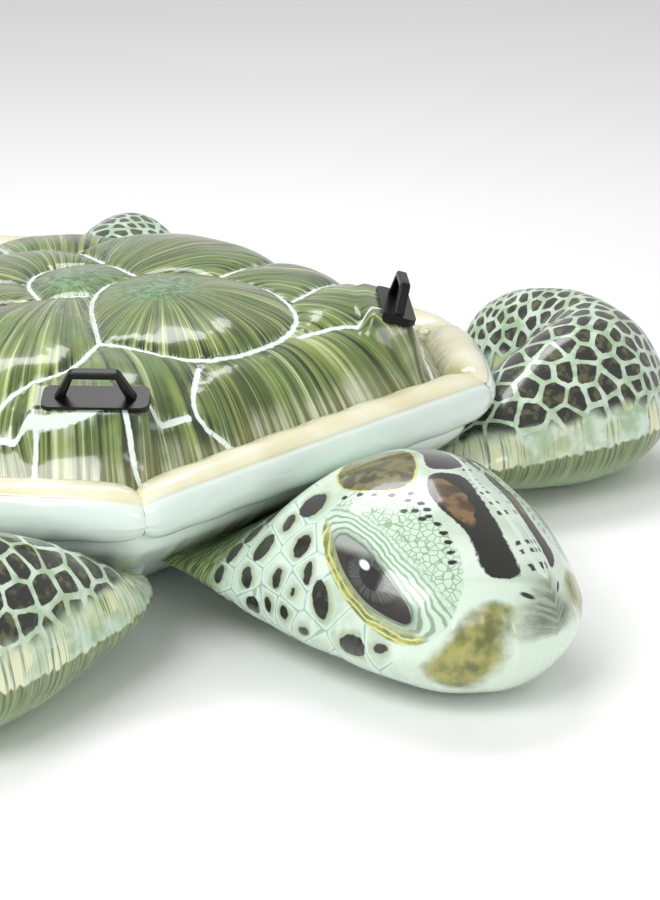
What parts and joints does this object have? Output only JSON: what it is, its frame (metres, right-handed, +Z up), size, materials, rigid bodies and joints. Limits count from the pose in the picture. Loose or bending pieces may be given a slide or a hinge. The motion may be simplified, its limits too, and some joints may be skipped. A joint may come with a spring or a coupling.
{
  "type": "ride-on pool float",
  "caption": "Inflatable sea turtle ride-on float with a domed shell, rim tubes, head, flippers, two grab handles and air valves.",
  "frame": {"origin": "on the floor, under the middle of the float's bounding box", "axes": "+Z up; the turtle faces -Y, and its left side is +X"},
  "size_m": [1.8924, 1.9036, 0.4357],
  "materials": {
    "shell_film": "glossy printed vinyl film, green scutes",
    "hull_film": "glossy pale mint vinyl film",
    "rim_film": "glossy pale vinyl film, cream towards the shell",
    "skin_film_top": "glossy printed vinyl film, dark spots in a pale net",
    "skin_film_bottom": "glossy printed vinyl film, olive green",
    "inner_film": "plain vinyl film",
    "handle_vinyl": "glossy black moulded vinyl",
    "valve_vinyl": "soft translucent vinyl"
  },
  "bodies": {
    "float": {"baffle_back": "inner_film", "baffle_front": "inner_film", "baffle_middle": "inner_film", "baffle_rear": "inner_film", "body_valve_base": "valve_vinyl", "front_flipper_left_root_weld": "hull_film", "front_flipper_right_root_weld": "hull_film", "grab_handle_left": "handle_vinyl", "grab_handle_right": "handle_vinyl", "head_root_weld": "hull_film", "hull_bottom_panel": "hull_film", "rear_flipper_left_root_weld": "hull_film", "rear_flipper_right_root_weld": "hull_film", "rim_front": "rim_film", "rim_front_left": "rim_film", "rim_front_right": "rim_film", "rim_rear": "rim_film", "rim_rear_left": "rim_film", "rim_rear_right": "rim_film", "rim_side_left": "rim_film", "rim_side_right": "rim_film", "rim_valve_base": "valve_vinyl", "shell_top_panel": "shell_film", "side_baffles_left": "inner_film", "side_baffles_right": "inner_film"},
    "head": {"head_top_panel": "skin_film_top", "head_bottom_panel": "skin_film_bottom"},
    "front_flipper_left": {"front_flipper_left_top_panel": "skin_film_top", "front_flipper_left_bottom_panel": "skin_film_bottom"},
    "front_flipper_right": {"front_flipper_right_top_panel": "skin_film_top", "front_flipper_right_bottom_panel": "skin_film_bottom"},
    "rear_flipper_left": {"rear_flipper_left_top_panel": "skin_film_top", "rear_flipper_left_bottom_panel": "skin_film_bottom"},
    "rear_flipper_right": {"rear_flipper_right_top_panel": "skin_film_top", "rear_flipper_right_bottom_panel": "skin_film_bottom"},
    "body_valve_stem": {"body_valve_stem": "valve_vinyl"},
    "body_valve_cap": {"body_valve_cap": "valve_vinyl"},
    "body_valve_flap": {"body_valve_flap": "valve_vinyl"},
    "rim_valve_stem": {"rim_valve_stem": "valve_vinyl"},
    "rim_valve_cap": {"rim_valve_cap": "valve_vinyl"},
    "rim_valve_flap": {"rim_valve_flap": "valve_vinyl"}
  },
  "joints": [
    {"name": "head_flex", "type": "hinge", "parent": "float", "child": "head", "pos_m": [0, -0.3194, 0.11], "axis": [-1, 0, 0], "range_deg": [-14, 4], "stiffness_Nm_per_rad": 30},
    {"name": "front_flipper_left_flex", "type": "hinge", "parent": "float", "child": "front_flipper_left", "pos_m": [0.39786, -0.2419, 0.11], "axis": [-0.6203, -0.7843, 0], "range_deg": [-14, 4], "stiffness_Nm_per_rad": 30},
    {"name": "front_flipper_right_flex", "type": "hinge", "parent": "float", "child": "front_flipper_right", "pos_m": [-0.39786, -0.2419, 0.11], "axis": [-0.6203, 0.7843, 0], "range_deg": [-14, 4], "stiffness_Nm_per_rad": 30},
    {"name": "rear_flipper_left_flex", "type": "hinge", "parent": "float", "child": "rear_flipper_left", "pos_m": [0.35906, 0.62459, 0.11], "axis": [0.5597, -0.8287, 0], "range_deg": [-14, 4], "stiffness_Nm_per_rad": 30},
    {"name": "rear_flipper_right_flex", "type": "hinge", "parent": "float", "child": "rear_flipper_right", "pos_m": [-0.35906, 0.62459, 0.11], "axis": [0.5597, 0.8287, 0], "range_deg": [-14, 4], "stiffness_Nm_per_rad": 30},
    {"name": "body_valve_push", "type": "slide", "parent": "float", "child": "body_valve_stem", "axis": [0, -1, 0], "range_m": [0, 0.01]},
    {"name": "body_valve_cap_hinge", "type": "hinge", "parent": "body_valve_stem", "child": "body_valve_cap", "pos_m": [0, 0.8266, 0.324], "axis": [1, 0, 0], "range_deg": [0, 150]},
    {"name": "body_valve_flap_hinge", "type": "hinge", "parent": "body_valve_stem", "child": "body_valve_flap", "pos_m": [0, 0.7956, 0.3185], "axis": [-1, 0, 0], "range_deg": [0, 60], "stiffness_Nm_per_rad": 0.00005},
    {"name": "rim_valve_push", "type": "slide", "parent": "float", "child": "rim_valve_stem", "axis": [0, -1, 0], "range_m": [0, 0.01]},
    {"name": "rim_valve_cap_hinge", "type": "hinge", "parent": "rim_valve_stem", "child": "rim_valve_cap", "pos_m": [0.12, 0.9206, 0.257], "axis": [1, 0, 0], "range_deg": [0, 150]},
    {"name": "rim_valve_flap_hinge", "type": "hinge", "parent": "rim_valve_stem", "child": "rim_valve_flap", "pos_m": [0.12, 0.8896, 0.2515], "axis": [-1, 0, 0], "range_deg": [0, 60], "stiffness_Nm_per_rad": 0.00005}
  ]
}
